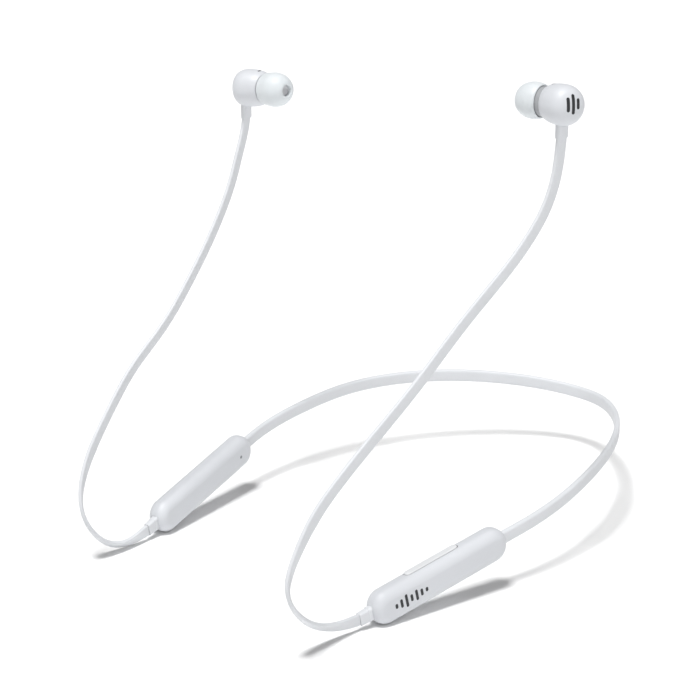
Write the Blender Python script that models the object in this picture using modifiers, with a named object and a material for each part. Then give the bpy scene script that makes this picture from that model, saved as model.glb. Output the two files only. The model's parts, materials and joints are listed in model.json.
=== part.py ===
"""Neckband earphones: a flat sprung neckband, two control housings, two ear cables and two earbuds.

Frame: metres, +Z up, the wearer faces -Y and the wearer's left is +X.
The origin is the centre of the neckband's section at the nape of the neck.
The object is modelled in its worn pose: the neckband rests on the neck and tilts down to the
front, the ear cables hang in front of the housings and rise to the earbuds.
"""
import math

import bmesh
import bpy
from mathutils import Matrix, Vector

MM = 0.001
GAP = 0.3 * MM                      # clearance between neighbouring pieces

# ---- neckband: a flat ribbon on edge, with a spring wire and a conductor bundle inside ----
NECK_WIDTH = 4.8 * MM               # across the flat, upright
NECK_THICKNESS = 2.0 * MM
NECK_CHANNEL = (2.9 * MM, 1.3 * MM)
NECK_WIRE_DIAMETER = 0.7 * MM
NECK_WIRE_OFFSET = 0.65 * MM        # spring above the middle, conductors below
NECK_STATIONS = 49
# Half of the neckband's centre line, nape to the rear end of the wearer's left housing (mm).
NECK_ROUTE = [(0, 0, 0), (18, -7.5, 2), (37, -25, 4.4), (51.3, -46, 5.4), (60.8, -69, 4.5),
              (65, -92, 1), (65.3, -110, -2), (63, -122.5, -4.6)]

# ---- control housings ----
HOUSING_LENGTH = 56.5 * MM
HOUSING_HEIGHT = 12.0 * MM
HOUSING_THICKNESS = 8.0 * MM
HOUSING_END_RADIUS = 5.2 * MM
HOUSING_EDGE_RADIUS = 3.4 * MM
SHELL_WALL = 1.0 * MM
HOUSING_REAR = Vector(NECK_ROUTE[-1]) * MM
HOUSING_TOE_IN = math.radians(10.5)
HOUSING_PITCH = math.radians(13)
NECK_INSERTION = 2.5 * MM           # how far the ribbon goes into the housing
WIRE_INSERTION = 8.2 * MM           # the wires go further, into the anchor block

RELIEF_SIZE = (2.8 * MM, 4.0 * MM, 5.1 * MM)     # sleeve outside the housing: thickness, length, height
RELIEF_FLANGE = (3.8 * MM, 1.4 * MM, 6.0 * MM)   # inside the housing
RELIEF_FLANGE_DEPTH = 2.8 * MM                   # how far behind the housing's front end it sits

ROCKER_LENGTH = 22 * MM
ROCKER_WIDTH = 2.7 * MM
ROCKER_X = -0.8 * MM                # the key sits towards the inner face
ROCKER_Y = -1.0 * MM
ROCKER_TOP = 6.45 * MM
ROCKER_PIVOT_Z = 4.2 * MM
ROCKER_NUB_Y = 7.0 * MM

PLAY_BUTTON_RADIUS = 2.6 * MM
PLAY_BUTTON_Y = -18.0 * MM
POWER_BUTTON_RADIUS = 2.0 * MM
POWER_BUTTON_Y = -21.4 * MM
BUTTON_PROUD = 0.25 * MM

USB_Y = 13.5 * MM
USB_LENGTH = 8.9 * MM
USB_THICKNESS = 3.2 * MM
USB_DEPTH = 6.4 * MM
USB_WALL = 0.35 * MM

# ---- ear cables: flat ribbons ----
CABLE_WIDTH = 4.2 * MM
CABLE_THICKNESS = 1.3 * MM
CABLE_STATIONS = 58
LEFT_CABLE_ROUTE = [(52.1, -181.1, -18.4), (51.7, -184.6, -18.7), (51.6, -189, -18), (51.6, -195, -16.5),
                    (52, -202.5, -13), (52.5, -209, -7), (53, -214, 0), (53.4, -215, 6), (54.3, -211, 15),
                    (55.5, -203, 27), (57, -187.5, 40), (59, -163.5, 57.5), (61, -142.5, 75),
                    (63, -119, 92.5), (64.3, -106, 106.5), (65.3, -101.8, 119), (66, -101.3, 130.2)]
RIGHT_CABLE_ROUTE = [(-52.1, -181.1, -18.4), (-51.9, -184.8, -19.2), (-51.6, -191, -20.5),
                     (-52, -196.5, -19.5), (-52.6, -202.5, -15.5), (-53.2, -207, -9), (-53.8, -209.5, -1.5),
                     (-54.6, -207.5, 7.5), (-55.6, -202, 17), (-56.9, -191, 30), (-58.2, -180, 41),
                     (-59.8, -162.5, 53.5), (-61.5, -146.5, 69.5), (-62.8, -135.5, 82.5),
                     (-64.1, -126.5, 95.5), (-65.2, -120.5, 108.5), (-65.9, -116.9, 115.4),
                     (-66, -116.5, 119.2)]
# The ribbon's twist along each cable: (share of the length, turn from upright in degrees).
LEFT_CABLE_TWIST = [(0.0, 0), (0.16, -110), (0.21, -154), (0.3, -182), (1.0, -187)]
RIGHT_CABLE_TWIST = [(0.0, 0), (0.12, -90), (0.24, -148), (0.3, -167), (1.0, -167)]

# ---- earbuds, turned about the axis that runs from the back cap to the ear tip ----
BUD_SEGMENTS = 22
LEFT_BUD = Vector((67.1, -101.2, 140.5)) * MM
RIGHT_BUD = Vector((-65.9, -116.1, 129.7)) * MM
LEFT_BUD_TURN = (math.radians(17), math.radians(-1))    # back cap towards the front, ear tip raised
RIGHT_BUD_TURN = (math.radians(23), math.radians(4))
BUD_BEND = math.radians(22)         # the barrel bends forward, so that the nozzle follows the ear canal
BARREL_FRONT = 8.2 * MM             # the bend runs from the bud's centre to here, along its axis
# Outer profiles as (along the axis towards the ear, radius) in mm.
CAP_PROFILE = [(-4.4, 0), (-4.4, 2.2), (-4.25, 3.2), (-3.85, 4.2), (-3.2, 5.1)]
CAP_INSIDE = [(-3.2, 4.1), (-3.5, 3.0), (-3.7, 0)]
BARREL_OUTSIDE = [(-2.9, 5.4), (-2.0, 6.1), (-0.6, 6.6), (1.0, 6.75), (3.4, 6.65), (5.6, 6.3), (7.4, 5.7),
                  (8.2, 5.1)]
BARREL_INSIDE = [(8.2, 3.2), (7.2, 3.2), (7.0, 4.7), (4.0, 5.6), (0.6, 5.7), (-1.7, 5.2), (-2.9, 4.4)]
TIP_OUTSIDE = [(18.4, 1.85), (19.0, 2.25), (18.9, 3.0), (18.2, 4.1), (17.0, 5.05), (15.4, 5.75),
               (13.4, 6.1), (11.7, 6.0), (10.5, 5.6), (10.3, 5.25)]
TIP_INSIDE = [(10.7, 5.0), (12.6, 5.35), (15.0, 4.9), (16.4, 3.9), (16.6, 3.5), (11.4, 3.5),
              (11.4, 2.95), (17.5, 2.95), (17.6, 1.85)]
BUD_RELIEF_SIZE = (4.6 * MM, 1.9 * MM)
BUD_RELIEF_LENGTH = 4.2 * MM
CABLE_END_GAP = 0.6 * MM

WHITE_SATIN = ((0.80, 0.81, 0.83), 0.42, 0.0)
WHITE_KEY = ((0.82, 0.83, 0.85), 0.38, 0.0)
RIBBON_SKIN = ((0.78, 0.81, 0.83), 0.55, 0.0)
SILICONE = ((0.84, 0.87, 0.88), 0.5, 0.0)
GREY_PLASTIC = ((0.30, 0.31, 0.32), 0.45, 0.0)
STEEL = ((0.60, 0.60, 0.60), 0.3, 1.0)
NITINOL = ((0.42, 0.43, 0.45), 0.35, 1.0)
COPPER = ((0.72, 0.43, 0.25), 0.35, 1.0)
BOARD = ((0.04, 0.18, 0.09), 0.5, 0.0)
BLACK_PLASTIC = ((0.03, 0.03, 0.03), 0.5, 0.0)
MAGNET = ((0.55, 0.55, 0.57), 0.25, 1.0)
CELL_FOIL = ((0.58, 0.60, 0.63), 0.4, 1.0)
FOAM = ((0.10, 0.10, 0.11), 0.95, 0.0)
CLEAR = ((0.85, 0.87, 0.88), 0.15, 0.0)

PARTS = None
CUTTERS = None


# ---------------------------------------------------------------- helpers

def clear_scene():
    for obj in list(bpy.data.objects):
        bpy.data.objects.remove(obj, do_unlink=True)


def new_collection(name):
    group = bpy.data.collections.new(name)
    bpy.context.scene.collection.children.link(group)
    return group


def add_material(obj, finish):
    colour, roughness, metallic = finish
    mat = bpy.data.materials.new(obj.name)
    mat.use_nodes = True
    shader = mat.node_tree.nodes["Principled BSDF"]
    shader.inputs["Base Color"].default_value = (*colour, 1.0)
    shader.inputs["Roughness"].default_value = roughness
    shader.inputs["Metallic"].default_value = metallic
    obj.data.materials.clear()
    obj.data.materials.append(mat)


def place(obj, parent=None, location=(0, 0, 0), rotation=(0, 0, 0)):
    obj.location = location
    obj.rotation_euler = rotation
    if parent is not None:
        obj.parent = parent


def new_part(name, bm, finish, parent=None, location=(0, 0, 0), rotation=(0, 0, 0)):
    """A sub-part from a bmesh, in the parts collection."""
    mesh = bpy.data.meshes.new(name)
    bm.normal_update()
    bm.to_mesh(mesh)
    bm.free()
    mesh.shade_smooth()
    mesh.set_sharp_from_angle(angle=math.radians(35))
    obj = bpy.data.objects.new(name, mesh)
    PARTS.objects.link(obj)
    add_material(obj, finish)
    place(obj, parent, location, rotation)
    return obj


def new_empty(name, location, rotation, parent=None):
    obj = bpy.data.objects.new(name, None)
    PARTS.objects.link(obj)
    obj.empty_display_size = 0.004
    place(obj, parent, location, rotation)
    return obj


def box_bmesh(size, radius=0.0, segments=2):
    bm = bmesh.new()
    bmesh.ops.create_cube(bm, size=1.0)
    bmesh.ops.scale(bm, vec=size, verts=bm.verts)
    if radius:
        bmesh.ops.bevel(bm, geom=list(bm.edges), offset=radius, segments=segments, profile=0.5,
                        affect="EDGES", clamp_overlap=False)
    return bm


def box(name, size, finish, parent, location, radius=0.2 * MM, segments=1):
    return new_part(name, box_bmesh(size, radius, segments), finish, parent, location)


def slab_bmesh(size, axis, radius, segments=3):
    """A box whose four edges along one axis (0, 1 or 2) are rounded."""
    bm = box_bmesh(size)
    along = [e for e in bm.edges
             if abs((e.verts[0].co - e.verts[1].co)[axis]) > 0.5 * size[axis]]
    bmesh.ops.bevel(bm, geom=along, offset=radius, segments=segments, profile=0.5,
                    affect="EDGES", clamp_overlap=False)
    return bm


def disc_bmesh(radius, depth, segments=20):
    """A cylinder along Z, centred on its middle."""
    bm = bmesh.new()
    bmesh.ops.create_cone(bm, cap_ends=True, segments=segments, radius1=radius, radius2=radius, depth=depth)
    return bm


def make_cutter(name, bm, parent, location=(0, 0, 0), rotation=(0, 0, 0)):
    mesh = bpy.data.meshes.new(name)
    bm.normal_update()
    bm.to_mesh(mesh)
    bm.free()
    obj = bpy.data.objects.new(name, mesh)
    CUTTERS.objects.link(obj)
    obj.hide_render = True
    obj.display_type = "WIRE"
    place(obj, parent, location, rotation)
    return obj


def combine(obj, other, operation="DIFFERENCE"):
    mod = obj.modifiers.new(other.name, "BOOLEAN")
    mod.operation = operation
    mod.object = other
    mod.solver = "EXACT"


def turned(name, profile, finish, parent, closed=False, segments=BUD_SEGMENTS, location=(0, 0, 0)):
    """A body turned about local Z from (along, radius) points in mm, listed from the ear end back."""
    mesh = bpy.data.meshes.new(name)
    points = [(radius * MM, 0.0, along * MM) for along, radius in profile]
    edges = [(i, i + 1) for i in range(len(points) - 1)]
    if closed:
        edges.append((len(points) - 1, 0))
    mesh.from_pydata(points, edges, [])
    obj = bpy.data.objects.new(name, mesh)
    PARTS.objects.link(obj)
    screw = obj.modifiers.new("turn", "SCREW")
    screw.axis = "Z"
    screw.steps = segments
    screw.render_steps = segments
    screw.use_merge_vertices = True
    screw.merge_threshold = 0.00001
    screw.use_smooth_shade = True
    add_material(obj, finish)
    place(obj, parent, location)
    return obj


def smooth_route(points, stations, passes=3):
    """Equally spaced points on a smooth curve through the route's points (mm in, metres out)."""
    knots = [Vector(p) * MM for p in points]
    knots = [2 * knots[0] - knots[1]] + knots + [2 * knots[-1] - knots[-2]]
    dense = []
    for i in range(1, len(knots) - 2):
        p0, p1, p2, p3 = knots[i - 1:i + 3]
        for step in range(24):
            t = step / 24
            dense.append(0.5 * (2 * p1 + (p2 - p0) * t + (2 * p0 - 5 * p1 + 4 * p2 - p3) * t * t
                                + (3 * p1 - p0 - 3 * p2 + p3) * t ** 3))
    dense.append(knots[-2])
    route = resample(dense, stations)
    for _ in range(passes):
        inner = [(a + 2 * b + c) / 4 for a, b, c in zip(route, route[1:], route[2:])]
        route = [route[0]] + inner + [route[-1]]
    return resample(route, stations)


def resample(points, count):
    lengths = [0.0]
    for a, b in zip(points, points[1:]):
        lengths.append(lengths[-1] + (b - a).length)
    out = []
    j = 0
    for i in range(count):
        target = lengths[-1] * i / (count - 1)
        while j < len(points) - 2 and lengths[j + 1] < target:
            j += 1
        share = (target - lengths[j]) / (lengths[j + 1] - lengths[j])
        out.append(points[j].lerp(points[j + 1], min(share, 1.0)))
    return out


def tangents(points):
    ends = [points[0]] + points + [points[-1]]
    return [(c - a).normalized() for a, c in zip(ends, ends[2:])]


def stadium(width, thickness, per_end=4):
    """Outline of a flat ribbon's section: (across the flat, through the thickness)."""
    radius = thickness / 2
    reach = width / 2 - radius
    outline = []
    for sign in (1, -1):
        for i in range(per_end + 1):
            angle = math.pi * (i / per_end - 0.5)
            outline.append((sign * (reach + radius * math.cos(angle)), sign * radius * math.sin(angle)))
    return outline


def circle(diameter, sides, offset=0.0):
    return [(offset + diameter / 2 * math.cos(2 * math.pi * i / sides),
             diameter / 2 * math.sin(2 * math.pi * i / sides)) for i in range(sides)]


def section_rings(bm, centres, wides, outline):
    rings = []
    for centre, along, wide in zip(centres, tangents(centres), wides):
        wide = (wide - wide.dot(along) * along).normalized()
        through = wide.cross(along)
        rings.append([bm.verts.new(centre + wide * a + through * b) for a, b in outline])
    return rings


def skin(bm, rings, flip):
    for ring, following in zip(rings, rings[1:]):
        for i in range(len(ring)):
            j = (i + 1) % len(ring)
            quad = [ring[i], ring[j], following[j], following[i]]
            bm.faces.new(quad[::-1] if flip else quad)


def swept(name, centres, wides, outline, finish, bore=None):
    """A body swept along the centres with its wide side along the wides, and an open bore."""
    bm = bmesh.new()
    outer = section_rings(bm, centres, wides, outline)
    skin(bm, outer, False)
    if bore:
        inner = section_rings(bm, centres, wides, bore)
        skin(bm, inner, True)
        for first, second in ((outer[0], inner[0]), (inner[-1], outer[-1])):
            for i in range(len(first)):
                j = (i + 1) % len(first)
                bm.faces.new([first[j], first[i], second[i], second[j]])
    else:
        bm.faces.new(outer[0][::-1])
        bm.faces.new(outer[-1])
    bmesh.ops.recalc_face_normals(bm, faces=bm.faces)
    return new_part(name, bm, finish)


# ---------------------------------------------------------------- neckband

def housing_direction(side):
    """Unit vector from a housing's rear end to its front end."""
    level = math.cos(HOUSING_PITCH)
    return Vector((-side * math.sin(HOUSING_TOE_IN) * level, -math.cos(HOUSING_TOE_IN) * level,
                   -math.sin(HOUSING_PITCH)))


def mirrored(point, side):
    return Vector((side * point[0], point[1], point[2]))


def neck_route(insertion):
    """The neckband's whole centre line, running straight into each housing by the insertion."""
    inside = (HOUSING_REAR + housing_direction(1) * insertion) / MM
    half = [Vector(p) for p in NECK_ROUTE] + [inside]
    other = [mirrored(p, -1) for p in half[:0:-1]]
    return other + half


def build_neckband():
    up = Vector((0, 0, 1))
    centres = smooth_route(neck_route(NECK_INSERTION), NECK_STATIONS, passes=2)
    wides = [up] * NECK_STATIONS
    swept("neckband_jacket", centres, wides, stadium(NECK_WIDTH, NECK_THICKNESS), RIBBON_SKIN,
          bore=stadium(*NECK_CHANNEL))
    direction = {1: housing_direction(1), -1: housing_direction(-1)}
    extra = WIRE_INSERTION - NECK_INSERTION
    longer = [centres[0] + direction[-1] * extra] + centres + [centres[-1] + direction[1] * extra]
    wides = [up] * len(longer)
    for name, offset, finish in (("neckband_spring_wire", NECK_WIRE_OFFSET, NITINOL),
                                 ("neckband_conductors", -NECK_WIRE_OFFSET, COPPER)):
        swept(name, longer, wides, circle(NECK_WIRE_DIAMETER, 6, offset), finish)


# ---------------------------------------------------------------- housings

def housing_frame(side, name):
    centre = mirrored(HOUSING_REAR, side) + housing_direction(side) * HOUSING_LENGTH / 2
    return new_empty(name, centre, (HOUSING_PITCH, 0, -side * HOUSING_TOE_IN))


def half_shell(name, facing, parent):
    """One half of the pill-shaped housing, open at the parting plane, facing +X or -X."""
    bm = slab_bmesh((HOUSING_THICKNESS, HOUSING_LENGTH, HOUSING_HEIGHT), 0, HOUSING_END_RADIUS, 5)
    face_x = HOUSING_THICKNESS / 2
    rims = [e for e in bm.edges
            if all(abs(abs(v.co.x) - face_x) < 1e-7 for v in e.verts)
            and abs(e.verts[0].co.x - e.verts[1].co.x) < 1e-7]
    bmesh.ops.bevel(bm, geom=rims, offset=HOUSING_EDGE_RADIUS, segments=4, profile=0.5,
                    affect="EDGES", clamp_overlap=False)
    bmesh.ops.bisect_plane(bm, geom=list(bm.verts) + list(bm.edges) + list(bm.faces), dist=1e-7,
                           plane_co=(facing * GAP / 2, 0, 0), plane_no=(-facing, 0, 0), clear_outer=True)
    obj = new_part(name, bm, WHITE_SATIN, parent)
    wall = obj.modifiers.new("wall", "SOLIDIFY")
    wall.thickness = SHELL_WALL
    wall.offset = -1
    wall.use_even_offset = True
    return obj


def port_cutters(side_name, frame):
    """The ribbon's slot at the rear end and the strain relief's slot at the front end."""
    half = HOUSING_LENGTH / 2
    rear = slab_bmesh((NECK_THICKNESS + 2 * GAP, 5 * MM, NECK_WIDTH + 2 * GAP), 1, 1.2 * MM)
    front = slab_bmesh((RELIEF_SIZE[0] + 2 * GAP, 5 * MM, RELIEF_SIZE[2] + 2 * GAP), 1, 1.0 * MM)
    return [make_cutter(side_name + "_rear_port", rear, frame, (0, half, 0)),
            make_cutter(side_name + "_front_port", front, frame, (0, -half, 0))]


def build_front_relief(name, frame):
    """The sleeve that guides the ear cable out, held by a flange behind the wall."""
    thickness, length, height = RELIEF_SIZE
    front = -HOUSING_LENGTH / 2
    through = RELIEF_FLANGE_DEPTH + RELIEF_FLANGE[1] / 2
    sleeve = new_part(name, slab_bmesh((thickness, length + through, height), 1, 0.9 * MM), RIBBON_SKIN,
                      frame, (0, front + (through - length) / 2, 0))
    flange = make_cutter(name + "_flange", slab_bmesh(RELIEF_FLANGE, 1, 1.0 * MM), frame,
                         (0, front + RELIEF_FLANGE_DEPTH + RELIEF_FLANGE[1] / 2, 0))
    combine(sleeve, flange, "UNION")


def build_anchor(name, frame):
    """The block behind the rear port that grips the two wires of the neckband."""
    half = HOUSING_LENGTH / 2
    front, rear = half - WIRE_INSERTION - GAP, half - NECK_INSERTION - GAP
    block = box(name, (4.0 * MM, rear - front, 6.0 * MM), STEEL, frame, (0, (front + rear) / 2, 0),
                radius=0.4 * MM)
    tall, wide = NECK_CHANNEL
    bore = make_cutter(name + "_bore", slab_bmesh((wide, 12 * MM, tall), 1, 0.6 * MM), frame,
                       (0, (front + rear) / 2, 0))
    combine(block, bore)


def push_button(name, radius, frame, facing, y, stem_end):
    """A round button in a housing wall; its origin is on its axis at the outer face of the wall."""
    wall_face = HOUSING_THICKNESS / 2
    rotation = (0, facing * math.pi / 2, 0)
    profile = [(BUTTON_PROUD, 0), (BUTTON_PROUD, radius - 0.3 * MM), (BUTTON_PROUD - 0.3 * MM, radius),
               (-SHELL_WALL - GAP, radius), (-SHELL_WALL - GAP, radius + 0.5 * MM),
               (-SHELL_WALL - 2 * GAP, radius + 0.5 * MM), (-SHELL_WALL - 2 * GAP, 0.9 * MM),
               (stem_end, 0.9 * MM), (stem_end, 0)]
    obj = turned(name, [(z / MM, r / MM) for z, r in profile], WHITE_KEY, frame, segments=18)
    obj.location = (facing * wall_face, y, 0)
    obj.rotation_euler = rotation
    return obj


def build_rocker(frame):
    """The volume rocker: a long key on a central pivot rib, with a nub over each switch."""
    top, pivot = ROCKER_TOP, ROCKER_PIVOT_Z
    key_height = 1.7 * MM
    body = slab_bmesh((ROCKER_WIDTH, ROCKER_LENGTH, key_height), 2, ROCKER_WIDTH / 2 - 0.02 * MM, 4)
    upper = [e for e in body.edges if all(v.co.z > key_height / 2 - 1e-7 for v in e.verts)]
    bmesh.ops.bevel(body, geom=upper, offset=0.45 * MM, segments=2, profile=0.5, affect="EDGES",
                    clamp_overlap=False)
    bmesh.ops.translate(body, vec=(0, 0, top - key_height / 2 - pivot), verts=body.verts)
    rocker = new_part("volume_rocker", body, WHITE_KEY, frame, (ROCKER_X, ROCKER_Y, pivot))
    for tag, y, bottom in (("plus_nub", -ROCKER_NUB_Y, -0.35 * MM), ("minus_nub", ROCKER_NUB_Y, -0.35 * MM),
                           ("pivot_rib", 0.0, -0.6 * MM)):
        height = top - key_height - pivot + 0.5 * MM - bottom
        foot = make_cutter("rocker_" + tag, box_bmesh((1.6 * MM, 1.4 * MM, height)), frame,
                           (ROCKER_X, ROCKER_Y + y, pivot + bottom + height / 2))
        combine(rocker, foot, "UNION")


def build_usb(frame):
    """The charging receptacle in the lower edge: a steel shell open at the bottom, and its tongue."""
    mouth = -HOUSING_HEIGHT / 2 + 0.1 * MM
    middle = mouth + USB_DEPTH / 2
    shell = new_part("usb_c_shell", slab_bmesh((USB_THICKNESS, USB_LENGTH, USB_DEPTH), 2, 1.45 * MM, 4),
                     STEEL, frame, (0, USB_Y, middle))
    inside = slab_bmesh((USB_THICKNESS - 2 * USB_WALL, USB_LENGTH - 2 * USB_WALL, USB_DEPTH), 2, 1.15 * MM, 4)
    combine(shell, make_cutter("usb_c_inside", inside, frame, (0, USB_Y, middle - 0.6 * MM)))
    box("usb_c_tongue", (0.7 * MM, 6.6 * MM, 4.4 * MM), BLACK_PLASTIC, frame,
        (0, USB_Y, mouth + USB_DEPTH - 0.6 * MM - GAP - 2.2 * MM), radius=0.15 * MM)
    slot = slab_bmesh((USB_THICKNESS + 2 * GAP, USB_LENGTH + 2 * GAP, 5 * MM), 2, 1.7 * MM, 4)
    return make_cutter("usb_c_slot", slot, frame, (0, USB_Y, -HOUSING_HEIGHT / 2))


def build_left_housing():
    """The wearer's left housing: rocker, play button, charging port, microphone and main board."""
    frame = housing_frame(1, "left_housing_frame")
    outer = half_shell("left_outer_shell", 1, frame)
    inner = half_shell("left_inner_shell", -1, frame)
    cutters = port_cutters("left", frame)
    rocker_slot = slab_bmesh((ROCKER_WIDTH + 2 * GAP, ROCKER_LENGTH + 2 * GAP, 4 * MM), 2,
                             ROCKER_WIDTH / 2 + 0.2 * MM, 4)
    cutters.append(make_cutter("rocker_slot", rocker_slot, frame, (ROCKER_X, ROCKER_Y, HOUSING_HEIGHT / 2)))
    cutters.append(build_usb(frame))
    cutters.append(make_cutter("microphone_hole", disc_bmesh(0.6 * MM, 4 * MM, 10), frame,
                               (0, -11 * MM, -HOUSING_HEIGHT / 2)))
    for shell in (outer, inner):
        for cutter in cutters:
            combine(shell, cutter)
    combine(inner, make_cutter("play_button_hole", disc_bmesh(PLAY_BUTTON_RADIUS + GAP, 6 * MM, 22), frame,
                               (-HOUSING_THICKNESS / 2, PLAY_BUTTON_Y, 0), (0, math.pi / 2, 0)))
    build_front_relief("left_housing_relief", frame)
    build_anchor("left_wire_anchor", frame)
    build_rocker(frame)
    push_button("play_button", PLAY_BUTTON_RADIUS, frame, -1, PLAY_BUTTON_Y, -3.2 * MM)

    box("left_circuit_board", (0.7 * MM, 40.5 * MM, 6.4 * MM), BOARD, frame, (2.3 * MM, -1.6 * MM, 0),
        radius=0.15 * MM)
    box("left_shield_can", (2.6 * MM, 13 * MM, 5.2 * MM), STEEL, frame, (0.35 * MM, 0, -1.3 * MM))
    box("play_switch", (2.0 * MM, 3.4 * MM, 3.4 * MM), BLACK_PLASTIC, frame, (0.65 * MM, PLAY_BUTTON_Y, 0))
    for name, y in (("volume_up_switch", ROCKER_Y - ROCKER_NUB_Y), ("volume_down_switch", ROCKER_Y + ROCKER_NUB_Y)):
        box(name, (3.4 * MM, 3.0 * MM, 1.6 * MM), BLACK_PLASTIC, frame, (-0.05 * MM, y, 2.6 * MM))
    box("microphone", (2.0 * MM, 3.0 * MM, 1.2 * MM), STEEL, frame, (0.65 * MM, -11 * MM, -3.7 * MM))


def build_right_housing():
    """The wearer's right housing: battery, power button and status light."""
    frame = housing_frame(-1, "right_housing_frame")
    outer = half_shell("right_outer_shell", -1, frame)
    inner = half_shell("right_inner_shell", 1, frame)
    for cutter in port_cutters("right", frame):
        combine(outer, cutter)
        combine(inner, cutter)
    face = -HOUSING_THICKNESS / 2
    combine(outer, make_cutter("power_button_hole", disc_bmesh(POWER_BUTTON_RADIUS + GAP, 6 * MM, 20), frame,
                               (face, POWER_BUTTON_Y, 0), (0, math.pi / 2, 0)))
    light_place = (face, -16.2 * MM, 0)
    combine(outer, make_cutter("status_light_hole", disc_bmesh(0.6 * MM + GAP, 6 * MM, 12), frame,
                               light_place, (0, math.pi / 2, 0)))
    build_front_relief("right_housing_relief", frame)
    build_anchor("right_wire_anchor", frame)
    push_button("power_button", POWER_BUTTON_RADIUS, frame, -1, POWER_BUTTON_Y, -2.6 * MM)
    new_part("status_light", disc_bmesh(0.6 * MM, 2.2 * MM, 12), CLEAR, frame,
             (light_place[0] + 1.1 * MM, light_place[1], 0), (0, math.pi / 2, 0))
    box("power_switch", (2.2 * MM, 3.0 * MM, 3.0 * MM), BLACK_PLASTIC, frame, (0.15 * MM, POWER_BUTTON_Y, 0))
    box("right_control_board", (0.7 * MM, 9.4 * MM, 7.6 * MM), BOARD, frame, (2.0 * MM, -19.2 * MM, 0),
        radius=0.15 * MM)
    box("battery_cell", (4.2 * MM, 30 * MM, 8.4 * MM), CELL_FOIL, frame, (-0.6 * MM, 1.2 * MM, 0),
        radius=0.9 * MM, segments=2)
    box("battery_foam", (0.7 * MM, 24 * MM, 6.0 * MM), FOAM, frame, (2.2 * MM, 1.2 * MM, 0))
    box("cell_protection_board", (3.2 * MM, 1.2 * MM, 6.4 * MM), BOARD, frame, (0, 17.4 * MM, 0),
        radius=0.15 * MM)


# ---------------------------------------------------------------- ear cables

def twist_at(twist, share):
    for (s0, a0), (s1, a1) in zip(twist, twist[1:]):
        if share <= s1:
            return math.radians(a0 + (a1 - a0) * (share - s0) / (s1 - s0))
    return math.radians(twist[-1][1])


def cable_wides(centres, twist):
    """The ribbon's wide direction: upright at the housing, half a turn further at the earbud."""
    sideways = Vector((1, 0, 0))
    wides = []
    for i, along in enumerate(tangents(centres)):
        level = (sideways - sideways.dot(along) * along).normalized()
        upright = along.cross(level)
        angle = twist_at(twist, i / (len(centres) - 1))
        wides.append(upright * math.cos(angle) - level * math.sin(angle))
    return wides


def build_ear_cable(name, route, twist):
    centres = smooth_route(route, CABLE_STATIONS)
    swept(name, centres, cable_wides(centres, twist), stadium(CABLE_WIDTH, CABLE_THICKNESS, 3), RIBBON_SKIN)


# ---------------------------------------------------------------- earbuds

def bud_axes(side, yaw, pitch):
    """Rotation whose local Z is the bud's axis towards the ear, and whose local Y is up."""
    level = math.cos(pitch)
    towards_ear = Vector((-side * math.cos(yaw) * level, math.sin(yaw) * level, math.sin(pitch)))
    across = Vector((0, 0, 1)).cross(towards_ear).normalized()
    return Matrix((across, towards_ear.cross(across), towards_ear)).transposed().to_euler()


def bend_forward(obj, side, lowest):
    """Bends a turned body from the bud's centre on; lowest is where its profile starts (mm)."""
    bend = obj.modifiers.new("bend", "SIMPLE_DEFORM")
    bend.deform_method = "BEND"
    bend.deform_axis = "Y"
    bend.angle = side * BUD_BEND
    bend.limits = (-lowest * MM / (BARREL_FRONT - lowest * MM), 1.0)


def build_bud(side_name, side, centre, turn, cable_end, ribbon):
    frame = new_empty(side_name + "_bud_frame", centre, bud_axes(side, *turn))
    cap = turned(side_name + "_bud_cap", CAP_INSIDE[::-1] + CAP_PROFILE[::-1], WHITE_SATIN, frame)
    flat = cap.modifiers.new("flat back", "DECIMATE")
    flat.decimate_type = "DISSOLVE"
    flat.angle_limit = math.radians(1)
    barrel = turned(side_name + "_bud_barrel", BARREL_INSIDE[::-1] + BARREL_OUTSIDE[::-1], WHITE_SATIN,
                    frame, closed=True)
    bend_forward(barrel, side, BARREL_OUTSIDE[0][0])
    turned(side_name + "_bud_magnet", [(-0.9, 0), (-0.9, 3.0), (-2.6, 3.0), (-2.6, 0)], MAGNET, frame,
           segments=18)
    turned(side_name + "_bud_driver", [(3.8, 0), (3.8, 3.4), (3.0, 4.0), (3.0, 4.9), (1.8, 4.9), (1.8, 3.2),
                                       (0.4, 3.2), (0.4, 0)], STEEL, frame, segments=18)
    build_bud_relief(side_name, barrel, cable_end, ribbon)

    arc = BARREL_FRONT / BUD_BEND
    mouth = (side * arc * (1 - math.cos(BUD_BEND)), 0, arc * math.sin(BUD_BEND))
    nozzle = new_empty(side_name + "_nozzle_frame", mouth, (0, side * BUD_BEND, 0), frame)
    shift = (0, 0, -BARREL_FRONT)
    turned(side_name + "_bud_nozzle", [(16.6, 1.5), (16.6, 2.3), (16.0, 2.6), (15.4, 2.3), (9.1, 2.3),
                                       (6.9, 2.3), (6.9, 1.5)], GREY_PLASTIC, nozzle, closed=True,
           segments=18, location=shift)
    turned(side_name + "_bud_collar", [(9.9, 2.6), (9.9, 4.95), (8.6, 4.95), (8.6, 2.6)], GREY_PLASTIC,
           nozzle, closed=True, location=shift)
    turned(side_name + "_bud_screen", [(17.2, 0), (17.2, 2.3), (16.9, 2.3), (16.9, 0)], STEEL, nozzle,
           segments=16, location=shift)
    tip_base = 10.0
    tip = turned(side_name + "_ear_tip", [(z - tip_base, r) for z, r in TIP_OUTSIDE + TIP_INSIDE], SILICONE,
                 nozzle, closed=True)
    tip.location = (0, 0, tip_base * MM - BARREL_FRONT)


def ribbon_at_bud(twist):
    turn = math.radians(twist[-1][1])
    return Vector((-math.sin(turn), math.cos(turn), 0))


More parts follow.
